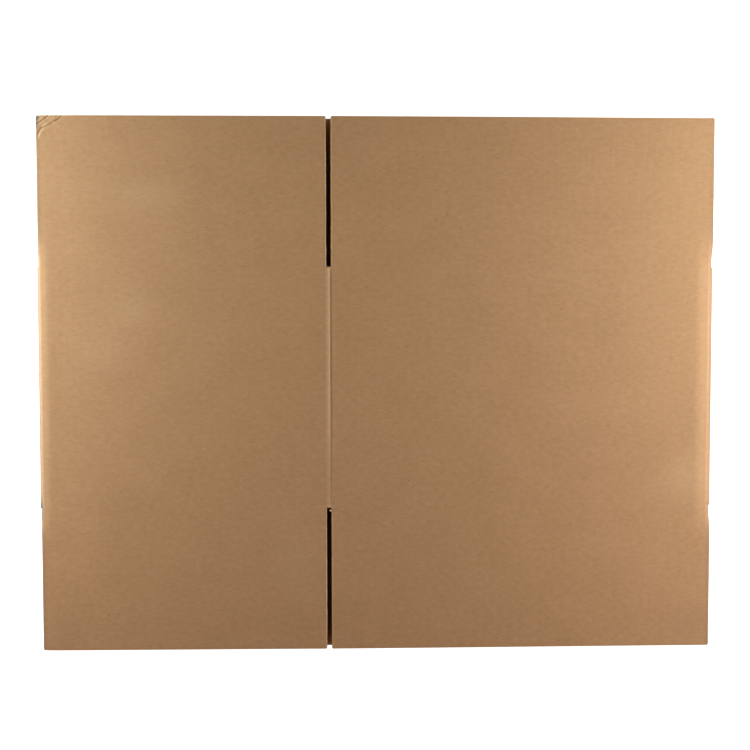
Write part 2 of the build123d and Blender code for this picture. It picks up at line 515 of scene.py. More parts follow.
# %% Columns and rows for the liners
FINE = FLUTE_PITCH / 6
BESIDE_CUT = np.array([-2.6, -2.2, -1.8, -1.4, -1.0, -0.6, -0.3, 0.3, 0.6, 1.0, 1.4, 1.8])
LEAST_GAP = 0.12
TIP_ROWS = np.array([0.0, 0.3, 0.7, CORNER])
TIP, BY_END = 13.0, 4.0


def columns(first, last, widest, extra=(), closer=()):
    """Columns with lines on and beside every cut in the stretch from first to last."""
    cuts = {first, last}
    for panel, start, direction, _, _ in PANELS:
        cuts |= {start - direction * panel.reach, start + direction * panel.far_cut}
    stops = sorted(cut for cut in cuts | set(extra) if first <= cut <= last)
    stretches = [(a, b, widest) for a, b in zip(stops, stops[1:])]
    places = [np.clip(lines(*stretches), first, last)]
    for cut in cuts:
        near = cut + BESIDE_CUT
        places.append(near[(near > first) & (near < last)])
    places = np.sort(np.concatenate(places + [np.asarray(closer, float)]))
    keep = np.concatenate([[True], np.diff(places) > LEAST_GAP])
    for cut in cuts:
        keep |= np.abs(places - cut) < 1e-9
    return places[keep & (places >= first) & (places <= last)]


def rows(tips, flaps, near_folds, ends, sleeve, high_tips=None, high_tip=TIP):
    """Rows from tip to tip, given the widest steps in each stretch."""
    low_fade, high_fade = LOW_END - UNCURL, HIGH_END + UNCURL
    return np.unique(np.concatenate([
        TIP_ROWS - HALF,
        HALF - TIP_ROWS,
        lines((-HALF + CORNER, -HALF + TIP, tips),
              (-HALF + TIP, low_fade, flaps),
              (low_fade, LOW_END - BY_END, near_folds),
              (LOW_END - BY_END, LOW_END + BY_END, ends),
              (LOW_END + BY_END, HIGH_END - BY_END, sleeve),
              (HIGH_END - BY_END, HIGH_END + BY_END, ends),
              (HIGH_END + BY_END, high_fade, near_folds),
              (high_fade, HALF - high_tip, flaps),
              (HALF - high_tip, HALF - CORNER, high_tips or tips)),
        [LOW_END, HIGH_END],
    ]).round(6))


short_rows = rows(2.5, 12, 5, 0.9, 10, high_tips=0.7, high_tip=27.0)
long_rows = rows(2.5, 12, 5, 0.9, 9)
lower_rows = rows(6, 30, 6, 2.0, 40)
inner_rows = rows(6, 40, 8, 1.0, 60)
print("rows:", len(short_rows), len(long_rows), len(lower_rows), len(inner_rows))

# %% [markdown]
# Each liner is then one call. The inner one has wider columns, because nobody sees it but
# at the edges and down the slots, and it runs through the whole blank.

# %% The outer and inner liners
KNOCK_COLUMNS = np.arange(KNOCKED[0], KNOCKED[0] + 33, 0.53)
CROWN_COLUMNS = np.arange(CROWN - 6, CROWN + 3, 0.4)


def outer_liner(name, first, last, y, closer=()):
    """One panel's outer liner."""
    along = columns(first, last, FINE, closer=closer)
    return shell(name, along, y, outer_face, lambda a, b: outer_face(a, b) + LINER)


upper_short_liner = outer_liner("upper_short_outer_liner", TIGHT_MID, CROWN, short_rows,
                                [*KNOCK_COLUMNS, *CROWN_COLUMNS])
upper_long_liner = outer_liner("upper_long_outer_liner", CROWN, LOOSE_MID, long_rows,
                               CROWN_COLUMNS)
lower_long_liner = outer_liner("lower_long_outer_liner", 0.0, TIGHT_MID, lower_rows)
lower_short_liner = outer_liner("lower_short_outer_liner", LOOSE_MID, BLANK_END, lower_rows)
inner_columns = columns(0.0, BLANK_END, FLUTE_PITCH / 2, (TIGHT_MID, CROWN, LOOSE_MID))
inside = shell("inner_liner", inner_columns, inner_rows,
               lambda a, b: inner_face(a, b) - LINER, inner_face)
liners = [upper_short_liner, upper_long_liner, lower_long_liner, lower_short_liner]
pieces = liners + [inside]

# %% [markdown]
# Two amounts change the colour as well. One draws the liner paler: worn fibre at the slots' ends
# and the flaps' tips, and painted highlight on the ridge's crest, the flanks of the creases and
# the folds'
# shoulders. The other draws it darker: painted shade in the creases, at the ridge's foot and
# beside the knocked edges, and painted shade with some grime along the folds' noses, which rub on
# whatever the carton is stacked with. Both amounts are worked out from the blank's own places, as
# the relief was, and kept on the mesh for the material to read.

# %% Soft paler and darker patches
# Each is given by its place along and across the blank, its half widths, and its strength.
PALE_PATCHES = (
    (SHORT_START + 107.0, 196.0, 36.0, 14.0, 0.11),
    (SHORT_START + 90.5, 80.0, 23.0, 20.0, 0.10),
    (SHORT_START + 59.0, 33.0, 26.0, 17.0, 0.08),
    (SHORT_START + 260.0, -190.0, 22.0, 34.0, 0.05),
    # This paler patch is a painted highlight on the dent by the loose fold.
    (LONG_END - 22.5, -98.0, 19.0, 21.0, 0.12),
    (LONG_END - 165.0, 110.0, 60.0, 14.0, 0.03),
)
DARK_PATCHES = (
    (SHORT_START + 20.0, -254.0, 22.0, 20.0, 0.10),
    (LONG_END - 18.0, -251.0, 22.0, 18.0, 0.12),
    (LONG_END - 119.0, -59.0, 26.0, 13.0, 0.035),
    (LONG_END - 100.0, -84.0, 22.0, 12.0, 0.03),
    (LONG_END - 110.0, 60.0, 14.0, 22.0, 0.035),
    (SHORT_START + 98.0, -129.0, 38.0, 17.0, 0.03),
    (LONG_END - 21.0, -44.0, 10.0, 16.0, 0.04),
    (SHORT_START + 172.0, 110.0, 9.0, 70.0, 0.015),
)


def patches(along, y, places):
    """The soft patches of the upper layer, added up."""
    return sum(strength * np.exp(-((along - at) / width) ** 2 - ((y - at_y) / long) ** 2)
               for at, at_y, width, long, strength in places)


print("soft patches:", len(PALE_PATCHES), "pale and", len(DARK_PATCHES), "dark")

# %% [markdown]
# Paler fibre shows at the slots' ends and at the flaps' tips. The crest of the ridge, the flanks
# of the creases and the folds' shoulders are drawn paler as painted highlight, the shoulders only
# faintly.

# %% Worn fibre and painted highlight
LIT_FLANKS = (
    # Painted highlight on the lit flanks of the creases. Start and end from the knocked corner,
    # and bow.
    ((3.4, -12.6), (28.0, 2.5), -1.0),
    ((-2.5, -9.0), (15.0, 3.5), -0.6),
    ((2.4, -25.0), (10.0, -11.0), 1.2),
)
FLANK_HALF, SLOT_END_HALF, TIP_HALF = 0.9, 1.8, 0.5
# The shoulders' sheen, the crest and the flanks are painted highlight; the slots' ends and the
# tips are worn fibre.
SHOULDER_SHEEN, CREST, CREST_PEAK = 0.05, 0.1, 0.34
AT_SLOT_END, ON_FLANK, AT_TIP = 0.3, 0.35, 0.4


def shoulder_sheen(along, y):
    """Where the painted sheen lies: 1 along the two folds' shoulders, with soft ends, and 0 in
    the flaps.
    """
    loose = (step(along, LONG_END - 15, LONG_END - 3)
             * (1 - step(along, LOOSE_MID - 3, LOOSE_MID)))
    tight = (step(along, TIGHT_MID + 1, TIGHT_MID + 4)
             * (1 - step(along, SHORT_START + 1, SHORT_START + 9)))
    from_middle = np.abs(y + FEED_ERROR)
    return (loose + tight) * (1 - step(from_middle, SLEEVE_HALF - 30, SLEEVE_HALF + 20))


def wear_and_highlight(along, y):
    """How much paler the liner is drawn, as worn fibre and as painted highlight."""
    share = ridge_share(along, y)
    slot_ends = sum(bump(np.hypot(along - CROWN, 0.7 * (y - end)), SLOT_END_HALF)
                    for end in (HIGH_END - 2.0, LOW_END + 1.5))
    flanks = sum(crease(along, y, KNOCKED + start, KNOCKED + end, FLANK_HALF, bow)
                 for start, end, bow in LIT_FLANKS)
    tips = bump(HALF - np.abs(y), TIP_HALF)
    return (SHOULDER_SHEEN * shoulder_sheen(along, y) + CREST * share + CREST_PEAK * share**3
            + AT_SLOT_END * slot_ends + ON_FLANK * np.clip(flanks, 0.0, 1.0) + AT_TIP * tips
            + patches(along, y, PALE_PATCHES))


print("the ridge's crest is rubbed by", round(float(wear_and_highlight(CROWN + RIDGE_PLACE, 0.0)), 2))

# %% [markdown]
# The darker amount is strongest along the tight fold's nose, where its flap was slotted off, and
# at the tip of the knocked corner. There it is painted shade, with some grime on the nose.

# %% Painted shade and grime
LOW_KNOCK = np.array([SHORT_START - upper_short.reach, LOW_END])
# Painted shade, with some grime, along the folds' noses: darkness and half width.
TIGHT_NOSE_SHADE_GRIME, LOOSE_NOSE_SHADE_GRIME = (0.75, 4.0), (0.42, 4.2)
# Painted shade at the foot of the ridge, where it drops away.
RIDGE_FOOT_SHADE = 0.1
DARK_LINES = (
    # Darker lines, most of them painted shade: in the creases, beside the knocked edges where the
    # layer below would show in shadow, and in a nick. Start, end, half width, darkness and bow.
    (KNOCKED + (4.5, -15.3), KNOCKED + (30.5, 1.5), 0.6, 0.18, -1.0),
    (KNOCKED + (-1.5, -11.5), KNOCKED + (17.5, 2.5), 0.6, 0.15, -0.6),
    (KNOCKED + (1.0, -25.5), KNOCKED + (9.0, -10.5), 0.6, 0.12, 1.2),
    (KNOCKED + (0.3, 1.0), KNOCKED + (0.3, -14.0), 0.9, 0.8, 0.0),
    (LOW_KNOCK + (0.3, 6.0), LOW_KNOCK + (0.5, -13.0), 1.1, 0.9, 0.0),
    (LOW_KNOCK + (-4.0, 12.0), LOW_KNOCK + (-1.5, 1.0), 1.6, 0.5, 0.0),
    ((CROWN + 1.2, LOW_END + 8.5), (CROWN + 4.6, LOW_END + 2.0), 0.5, 0.5, 0.0),
    ((LONG_END + 1.0, LOW_END + 3.5), (LONG_END + 4.0, LOW_END + 1.0), 0.6, 0.5, 0.0),
)
DARK_SPOTS = (
    # Painted shadow at the knocked tip and in the nick at the slot's low end, and one more dark
    # spot.
    # Place, half width and darkness.
    (KNOCKED + (1.0, -2.0), 2.2, 1.0),
    (LOW_KNOCK + (0.6, 5.5), 1.0, 0.8),
    ((LONG_END + 4.5, LOW_END - 4.0), 0.9, 0.5),
)


def grime_and_shade(along, y):
    """How dark the liner is drawn, as painted shade and as grime."""
    off_ridge = along - CROWN - RIDGE_PLACE
    # The foot of the ridge gets painted shade.
    foot = step(off_ridge, 0.8, 1.6) * (1 - step(off_ridge, 1.6, 3.2))
    share = RIDGE_FOOT_SHADE * foot * sleeve_share(y) + patches(along, y, DARK_PATCHES)
    # Painted shade, with some grime, along the noses of the two folds.
    for middle, (dark, half_width) in ((TIGHT_MID, TIGHT_NOSE_SHADE_GRIME), (LOOSE_MID, LOOSE_NOSE_SHADE_GRIME)):
        share = share + dark * bump(along - middle, half_width)
    for start, end, half_width, dark, bow in DARK_LINES:
        share = share + dark * crease(along, y, start, end, half_width, bow)
    for place, half_width, dark in DARK_SPOTS:
        share = share + dark * bump(np.hypot(along - place[0], y - place[1]), half_width)
    return np.clip(share, 0.0, 1.0)


# The paler amount is worn fibre and painted highlight, the darker one painted shade and grime.
for liner in liners + [inside]:
    uv_places = np.empty(2 * len(liner.data.loops), np.float32)
    liner.data.uv_layers["blank"].data.foreach_get("uv", uv_places)
    along, y = uv_places.reshape(-1, 2).T.astype(float) / MM
    for name, amount in (("wear_and_highlight", wear_and_highlight), ("grime_and_shade", grime_and_shade)):
        share = (amount(along, y) * (liner != inside)).astype(np.float32)
        liner.data.attributes.new(name, "FLOAT", "CORNER").data.foreach_set("value", share)
        print(f"{liner.name} is {name} up to {share.max():.2f}")

# %% [markdown]
# ## Node trees
# The flutes, the torn fibres and every finish are node trees. All of them are written with
# one function, which adds a node with its settings and its inputs. An input may be a plain
# value or another node's output, which it then links to.

# %% A function that adds a node
def add(tree, kind, inputs=(), output=0, **settings):
    """Add a node and give back one of its outputs. A value for an input, or another node's
    output to link to it, goes by the socket's name in a dictionary or by its place in a list.
    """
    node = tree.nodes.new(kind)
    for name, value in settings.items():
        setattr(node, name, value)
    for socket, value in inputs.items() if isinstance(inputs, dict) else enumerate(inputs):
        if isinstance(value, bpy.types.NodeSocket):
            tree.links.new(value, node.inputs[socket])
        else:
            node.inputs[socket].default_value = value
    return node.outputs[output] if len(node.outputs) else node


def linear(hex_colour):
    """The linear colour, with alpha, of an sRGB hex value such as "b08050"."""
    channels = [int(hex_colour[i:i + 2], 16) / 255 for i in (0, 2, 4)]
    return [c / 12.92 if c <= 0.04045 else ((c + 0.055) / 1.055) ** 2.4 for c in channels] + [1.0]


print("sRGB b08050 is, as linear light,", np.round(linear("b08050")[:3], 3))

# %% [markdown]
# ## Materials
# Kraft linerboard is pressed from long, unbleached pine fibres. That gives the eye a warm
# brown that isn't even: soft clouds some centimetres across where the pulp settled, fine
# streaks along the web, grain a little over a fibre wide, and dark flecks of bark. It is
# calendered on the outside, which leaves a dull sheen at a low angle. The web ran across
# the flutes, so the streaks do too. The pattern follows the blank, in millimetres.

# %% The pattern of the pulp
PATTERNS = (
    # Name, its size along and across the web in millimetres, detail and roughness. Grain
    # is drawn a little coarser than real fibre, which is too fine to show.
    ("clouds", 46.0, 38.0, 3.0, 0.5),
    ("mottle", 7.0, 5.0, 2.0, 0.5),
    ("streaks", 6.5, 1.1, 2.0, 0.5),
    ("grain", 0.9, 0.7, 2.0, 0.7),
    ("tinge", 8.5, 6.5, 3.0, 0.6),
)
MOTTLE, STREAKS, GRAIN = 0.95, 1.1, 1.4
REDDER, YELLOWER = (1.045, 0.995, 0.94, 1), (0.955, 1.005, 1.06, 1)


def pulp_patterns(tree, place):
    """The noises of the pulp, by name."""
    patterns = {}
    for name, along, across, detail, rough in PATTERNS:
        spread = add(tree, "ShaderNodeVectorMath", (place, (1 / along, 1 / across, 1 / across)),
                     operation="MULTIPLY")
        noise = {"Vector": spread, "Scale": 1.0, "Detail": detail, "Roughness": rough}
        patterns[name] = add(tree, "ShaderNodeTexNoise", noise, noise_dimensions="3D")
    return patterns


def pulp_colour(tree, patterns, dark, light, cloud):
    """The sheet's colour, from dark to light as the clouds, streaks and grain add up."""
    tone = 0.5
    for name, strength in (("clouds", cloud), ("mottle", MOTTLE), ("streaks", STREAKS),
                           ("grain", GRAIN)):
        swing = add(tree, "ShaderNodeMath", (patterns[name], 0.5), operation="SUBTRACT")
        tone = add(tree, "ShaderNodeMath", (swing, strength, tone), operation="MULTIPLY_ADD")
    shade = add(tree, "ShaderNodeMix", {"Factor": tone, 6: linear(dark), 7: linear(light)}, 2,
                data_type="RGBA")
    # Pulp of more than one wood leaves the sheet a little redder here and yellower there.
    hue = add(tree, "ShaderNodeMix", {"Factor": patterns["tinge"], 6: YELLOWER, 7: REDDER}, 2,
              data_type="RGBA")
    return add(tree, "ShaderNodeVectorMath", (shade, hue), operation="MULTIPLY")


print("patterns of the pulp:", [name for name, *_ in PATTERNS])

# %% [markdown]
# The bark flecks could be painted one by one. A Voronoi texture scatters them instead: it
# is a loose lattice of cells, each with a point and a number of its own, and a fleck is
# drawn on the point of every cell whose number is low enough.

# %% Flecks of bark
FLECKS = (
    # Radius, spacing, share of the cells that have one, and colour.
    (0.32, 7.0, 0.55, "6e4a2c"),
    (0.5, 13.0, 0.35, "5a3a22"),
)
FLECK_STRENGTH, FLECK_STRETCH = 0.55, 1.4


def flecked(tree, place, shade, fleck):
    """The shade with flecks on it. Its fleck, from 0 to 1, is how strong they are."""
    for size, spacing, share, colour in FLECKS:
        scale = (1 / spacing, FLECK_STRETCH / spacing, 1 / spacing)
        spread = add(tree, "ShaderNodeVectorMath", (place, scale), operation="MULTIPLY")
        distance = add(tree, "ShaderNodeTexVoronoi", {"Vector": spread, "Scale": 1.0}, "Distance")
        number = add(tree, "ShaderNodeSeparateColor", [distance.node.outputs["Color"]])
        chosen = add(tree, "ShaderNodeMath", (number, share), operation="LESS_THAN")
        near = add(tree, "ShaderNodeMapRange", {
            "Value": distance, "From Min": size / spacing, "From Max": 2 * size / spacing,
            "To Min": FLECK_STRENGTH * fleck, "To Max": 0.0}, interpolation_type="SMOOTHSTEP")
        amount = add(tree, "ShaderNodeMath", (near, chosen), operation="MULTIPLY")
        shade = add(tree, "ShaderNodeMix", {"Factor": amount, 6: shade, 7: linear(colour)}, 2,
                    data_type="RGBA")
    return shade


print("kinds of fleck:", len(FLECKS))

# %% [markdown]
# The liners carry two amounts that were worked out above. One draws the liner paler, as worn
# fibre and painted highlight, and the other darker, as painted shade and grime. A liner is also a
# touch darker where it bridges the flutes, as damp glue leaves it.

# %% Wear, painted light and flute lines
HIGHLIGHT_AND_FIBRE, SHADE_AND_GRIME_COLOUR = "d4b088", "44403f"
STRIPE = 0.004


def worn(tree, place, shade):
    """The shade with the paler and darker amounts of its mesh, wear and painted light, and faint
    flute lines.
    """
    # The pale colour draws worn fibre and painted highlight, the dark one painted shade and
    # grime.
    for name, colour in (("wear_and_highlight", HIGHLIGHT_AND_FIBRE), ("grime_and_shade", SHADE_AND_GRIME_COLOUR)):
        amount = add(tree, "ShaderNodeAttribute", output="Fac", attribute_name=name)
        shade = add(tree, "ShaderNodeMix", {"Factor": amount, 6: shade, 7: linear(colour)}, 2,
                    data_type="RGBA")
    along = add(tree, "ShaderNodeSeparateXYZ", [place])
    turns = add(tree, "ShaderNodeMath", (along, 2 * pi / FLUTE_PITCH), operation="MULTIPLY")
    wave = add(tree, "ShaderNodeMath", [turns], operation="COSINE")
    stripe = add(tree, "ShaderNodeMath", (wave, STRIPE, 1.0), operation="MULTIPLY_ADD")
    return add(tree, "ShaderNodeVectorMath", {0: shade, "Scale": stripe}, operation="SCALE")


print("flute lines:", STRIPE, "of the brightness either way")

# %% [markdown]
# Four papers come of this. The outer liner is calendered. The inner one is the same board's
# other face. The medium is recycled, so it is greyer and darker. A torn edge shows the
# unpressed fibre inside the liner, which is pale and quite matt.

# %% The four papers
FIBRE_RELIEF = 0.05 * MM
ROUGH_SWING = 0.12
# Cellulose bends light by 1.47, and the low specular level keeps its sheen dull.
PAPER_IOR, PAPER_SPECULAR = 1.47, 0.3


def kraft(name, dark, light, roughness, cloud=0.5, fleck=1.0, on_blank=True):
    """Linerboard whose colour runs from dark to light with its clouds, streaks and grain.

    Its pattern follows the blank, or the object itself where there is no blank to follow.
    """
    material = bpy.data.materials.new(name)
    material.use_nodes = True
    tree = material.node_tree
    shader = tree.nodes["Principled BSDF"]
    if on_blank:
        place = add(tree, "ShaderNodeUVMap", uv_map="blank")
    else:
        place = add(tree, "ShaderNodeTexCoord", output="Object")
    place = add(tree, "ShaderNodeVectorMath", {0: place, "Scale": 1 / MM}, operation="SCALE")
    patterns = pulp_patterns(tree, place)
    shade = pulp_colour(tree, patterns, dark, light, cloud)
    shade = flecked(tree, place, shade, fleck)
    if on_blank:
        shade = worn(tree, place, shade)
    tree.links.new(shade, shader.inputs["Base Color"])
    swing = add(tree, "ShaderNodeMath", (patterns["mottle"], 0.5), operation="SUBTRACT")
    rough = add(tree, "ShaderNodeMath", (swing, ROUGH_SWING, roughness),
                operation="MULTIPLY_ADD")
    tree.links.new(rough, shader.inputs["Roughness"])
    shader.inputs["IOR"].default_value = PAPER_IOR
    shader.inputs["Specular IOR Level"].default_value = PAPER_SPECULAR
    relief = add(tree, "ShaderNodeMath", (patterns["streaks"], 0.5, patterns["grain"]),
                 operation="MULTIPLY_ADD")
    bumps = add(tree, "ShaderNodeBump",
                {"Height": relief, "Distance": FIBRE_RELIEF, "Strength": 0.5})
    tree.links.new(bumps, shader.inputs["Normal"])
    return material


outer_paper = kraft("kraft_linerboard_calendered", "9c714b", "af825c", 0.8)
inner_paper = kraft("kraft_linerboard_inner_face", "9c6f48", "b08057", 0.7, fleck=0.7)
medium_paper = kraft("recycled_fluting_medium", "7d5a3b", "956f4b", 0.8, on_blank=False)
torn_paper = kraft("torn_kraft_edge", "c09870", "dabb95", 0.85, fleck=0.3, on_blank=False)
for piece in liners:
    piece.data.materials.append(outer_paper)
inside.data.materials.append(inner_paper)
print("papers:", [paper.name for paper in (outer_paper, inner_paper, medium_paper, torn_paper)])

# %% [markdown]
# ## Flutes
# The medium between the liners is one sheet of paper in a wave, 6.4 mm from crest to crest
# in B flute board. It could be drawn as a curve and given a thickness. A Geometry Nodes
# tree does it more simply: a flat closed sheet with enough cuts along it is raised and
# lowered by a cosine, and every stretch of board reuses the tree with its own sizes. Its
# Y counts rows, so that the rows can go where the scores and folds need them.

# %% The tree of the fluted sheet
def new_tree(name, takes_edges, gives, sizes):
    """A Geometry Nodes tree with inputs for its sizes, and the outputs of its first node."""
    tree = bpy.data.node_groups.new(name, "GeometryNodeTree")
    if takes_edges:
        tree.interface.new_socket("Edges", in_out="INPUT", socket_type="NodeSocketGeometry")
    for size, kind, value in sizes:
        socket = tree.interface.new_socket(size, in_out="INPUT", socket_type=f"NodeSocket{kind}")
        socket.default_value = value
    tree.interface.new_socket(gives, in_out="OUTPUT", socket_type="NodeSocketGeometry")
    return tree, tree.nodes.new("NodeGroupInput").outputs


FLUTE_HEIGHT = 2.22
flutes, given = new_tree("fluted_sheet", False, "Sheet", (
    ("First", "Float", 0.0), ("Last", "Float", 100.0), ("Rows", "Int", 2),
    ("Flute pitch", "Float", FLUTE_PITCH), ("Flute height", "Float", FLUTE_HEIGHT),
    ("Paper", "Float", MEDIUM), ("Steps a flute", "Int", 8),
))
length = add(flutes, "ShaderNodeMath", (given["Last"], given["First"]), operation="SUBTRACT")
half_length = add(flutes, "ShaderNodeMath", (length, 0.5), operation="MULTIPLY")
row_steps = add(flutes, "ShaderNodeMath", (given["Rows"], 1.0), operation="SUBTRACT")
half_rows = add(flutes, "ShaderNodeMath", (row_steps, 0.5), operation="MULTIPLY")
waves = add(flutes, "ShaderNodeMath", (length, given["Flute pitch"]), operation="DIVIDE")
samples = add(flutes, "ShaderNodeMath", (waves, given["Steps a flute"], 1.0),
              operation="MULTIPLY_ADD")
samples = add(flutes, "ShaderNodeMath", [samples], operation="CEIL")
sheet_size = add(flutes, "ShaderNodeCombineXYZ", (length, row_steps, given["Paper"]))
sheet = add(flutes, "GeometryNodeMeshCube", {
    "Size": sheet_size, "Vertices X": samples, "Vertices Y": given["Rows"], "Vertices Z": 2})
middle = add(flutes, "ShaderNodeMath", (given["First"], half_length), operation="ADD")
to_first = add(flutes, "ShaderNodeCombineXYZ", (middle, half_rows))
sheet = add(flutes, "GeometryNodeSetPosition", {"Geometry": sheet, "Offset": to_first})
along = add(flutes, "ShaderNodeSeparateXYZ", [add(flutes, "GeometryNodeInputPosition")])
waves = add(flutes, "ShaderNodeMath", (along, given["Flute pitch"]), operation="DIVIDE")
angle = add(flutes, "ShaderNodeMath", (waves, 2 * pi), operation="MULTIPLY")
swing = add(flutes, "ShaderNodeMath", [angle], operation="COSINE")
amplitude = add(flutes, "ShaderNodeMath", (given["Flute height"], 0.5), operation="MULTIPLY")
rise = add(flutes, "ShaderNodeMath", (swing, amplitude), operation="MULTIPLY")
lift = add(flutes, "ShaderNodeCombineXYZ", {2: rise})
sheet = add(flutes, "GeometryNodeSetPosition", {"Geometry": sheet, "Offset": lift})
sheet = add(flutes, "GeometryNodeRealizeInstances", [sheet])
sheet = add(flutes, "GeometryNodeSetMaterial", {"Geometry": sheet, "Material": medium_paper})
flutes.links.new(sheet, flutes.nodes.new("NodeGroupOutput").inputs[0])
print("fluted_sheet has", len(flutes.nodes), "nodes")

# %% [markdown]
# A modifier's inputs go by the identifiers of the tree's sockets. The evaluated object is
# turned into a plain mesh, and the modifier goes with the object that carried it.

# %% From a tree to a plain mesh
def grown(tree, mesh, **sizes):
    """The plain mesh that a tree makes of a mesh, given some of its inputs."""
    carrier = bpy.data.objects.new("carrier", mesh)
    bpy.context.collection.objects.link(carrier)
    modifier = carrier.modifiers.new("tree", "NODES")
    modifier.node_group = tree
    for socket in tree.interface.items_tree:
        key = socket.name.lower().replace(" ", "_")
        if socket.in_out == "INPUT" and key in sizes:
            modifier[socket.identifier] = sizes[key]
    bpy.context.view_layer.update()
    evaluated = carrier.evaluated_get(bpy.context.evaluated_depsgraph_get())
    result = bpy.data.meshes.new_from_object(evaluated)
    bpy.data.objects.remove(carrier)
    return result


def vertices_of(mesh):
    """A mesh's vertices as an array."""
    flat = np.empty(3 * len(mesh.vertices), np.float32)
    mesh.vertices.foreach_get("co", flat)
    return flat.reshape(-1, 3).astype(float)


def set_vertices(mesh, points):
    """Moves a mesh's vertices to points in millimetres."""
    mesh.vertices.foreach_set("co", (points * MM).astype(np.float32).ravel())


print("sizes of the fluted sheet:", [socket.name for socket in flutes.interface.items_tree
                                     if socket.in_out == "INPUT"])

# %% [markdown]
# The medium fills whatever room the two liners leave it. So where a score, a fold or a
# knife has pressed the board, the flutes are pressed by as much.

# %% The medium, stretch by stretch
def medium_depth(along, y, height):
    """Depth of a point of the medium that is this high above the middle of sound board."""
    share = 0.5 - height / (BOARD - 2 * LINER)
    top, bottom = outer_face(along, y) + LINER, inner_face(along, y) - LINER
    return top + share * (bottom - top)


def fluted_stretch(first, last, y_rows):
    """A stretch of medium, folded to where it lies."""
    mesh = grown(flutes, bpy.data.meshes.new("blank_start"),
                 first=float(first), last=float(last), rows=len(y_rows))
    points = vertices_of(mesh)
    y = np.interp(points[:, 1], np.arange(len(y_rows)), y_rows)
    set_vertices(mesh, fold(points[:, 0], y, medium_depth(points[:, 0], y, points[:, 2])))
    return mesh


def fused(name, meshes, material):
    """One object of several meshes, smooth but for its sharp edges."""
    gathered = bmesh.new()
    for mesh in meshes:
        gathered.from_mesh(mesh)
    whole = bpy.data.meshes.new(name)
    gathered.to_mesh(whole)
    gathered.free()
    whole.materials.clear()
    whole.materials.append(material)
    whole.shade_smooth()
    whole.set_sharp_from_angle(angle=1.0)
    piece = bpy.data.objects.new(name, whole)
    bpy.context.collection.objects.link(piece)
    print(f"{name}: {sum(len(p.vertices) - 2 for p in whole.polygons)} triangles")
    return piece


# The medium is cut a little short of the liners, and its rows lie where a score, a fold or
# a tip changes the room that it has.
INSET = 0.15
low_score, high_score = -FEED_ERROR - BOX_HEIGHT / 2, -FEED_ERROR + BOX_HEIGHT / 2
sleeve_rows = np.array([LOW_END + INSET, low_score + 2.6, low_score + 5,
                        high_score - 5, high_score - 2.6, HIGH_END - INSET])
high_rows = np.array([HIGH_END + INSET, high_score + 1.3, high_score + 2.6, HIGH_END + 12,
                      HIGH_END + 22, HIGH_END + UNCURL, HALF - 24, HALF - 12, HALF - 1.2,
                      HALF - INSET])
low_rows = np.array([-HALF + INSET, -HALF + 1.2, LOW_END - UNCURL, LOW_END - 22, LOW_END - 12,
                     low_score - 2.6, low_score - 1.3, LOW_END - INSET])
stretches = [(INSET, BLANK_END - INSET, sleeve_rows)]
for panel, start, direction, _, _ in PANELS:
    cuts = sorted((start - direction * panel.reach, start + direction * panel.far_cut))
    stretches += [(cuts[0] + INSET, cuts[1] - INSET, y_rows) for y_rows in (low_rows, high_rows)]
medium = fused("fluted_medium", [fluted_stretch(*stretch) for stretch in stretches], medium_paper)
pieces.append(medium)

# %% [markdown]
# ## The glue joint
# One long panel ends in a tab, crushed flat so that the joint stays thin. The tab climbs on
# to the short panel beside it and is glued to that panel's inner face. A strip of paper of
# even thickness would float there, so its height follows the climb.

# %% The glue tab
TAB_LAP = 0.05
TAB_RIPPLE = 0.06
tab_half = BOX_HEIGHT / 2 - TAB_RELIEF
tab_travel = np.concatenate([np.linspace(-JOINT_RAMP, 0, 15), np.arange(FINE, TAB_WIDTH, FINE),
                             [TAB_WIDTH]])
tab_share = np.linspace(-1, 1, 41)
travel, share = np.meshgrid(tab_travel, tab_share, indexing="ij")
tab_y = share * (tab_half - TAB_TAPER * np.clip(travel / TAB_WIDTH, 0, 1)) - FEED_ERROR
climbed = step(travel, -JOINT_RAMP, 0.0)
flattened = TAB_RIPPLE * (1 - np.cos(2 * pi * travel / FLUTE_PITCH)) * climbed
tab_height = BOARD + TAB_LAP + (TAB_BOARD - TAB_LAP) * climbed - flattened
tab_top = np.stack([joint_x + travel, tab_y, tab_height], axis=-1)
tab_bottom = np.stack([joint_x + travel, tab_y, np.full_like(travel, BOARD - TAB_LAP)], axis=-1)
tab = mesh_piece("glue_tab", *closed_sheet(tab_top, tab_bottom),
                 np.stack([-travel, tab_y], axis=-1))
tab.data.materials.append(inner_paper)
pieces.append(tab)

# %% [markdown]
# ## Slot edges
# A slotting knife punches down through the board, and the outer liner tears a little before
# it is cut. What is left is a rolled, ragged lip on both sides of each slot: pale torn fibre
# on the left one, and on the right one the liner's own face, because the knife cut cleaner
# there. On the crown's slots it is the first thing the eye finds, so it gets a piece of its
# own: a narrow strip, rolled over the edge. The knife's teeth are 1.5 mm apart, so the strip
# widens and narrows at that pitch, and wanders a little too.

# %% The lips of the crown's slots
LIP_STEP = 0.375
LIP_PAPER = 0.1
LIP_ROLL, LIP_TEAR, LIP_WANDER, LIP_LIFT = 0.85, 0.17, 0.12, 0.05
KNIFE_TOOTH = 1.5
LIP_SECTION = (
    # Distance from the cut and depth below the face.
    (0.95, 0.03), (0.68, -0.04), (0.44, -0.07), (0.24, -0.03), (0.1, 0.08), (0.04, 0.3),
    (0.04, 0.6),
)
chance = np.random.default_rng(7)


def ragged(y, pitch):
    """A random line along y, between -1 and 1, that changes over each pitch."""
    knots = np.arange(y.min() - pitch, y.max() + 2 * pitch, pitch)
    return np.interp(y, knots, chance.uniform(-1, 1, len(knots)))


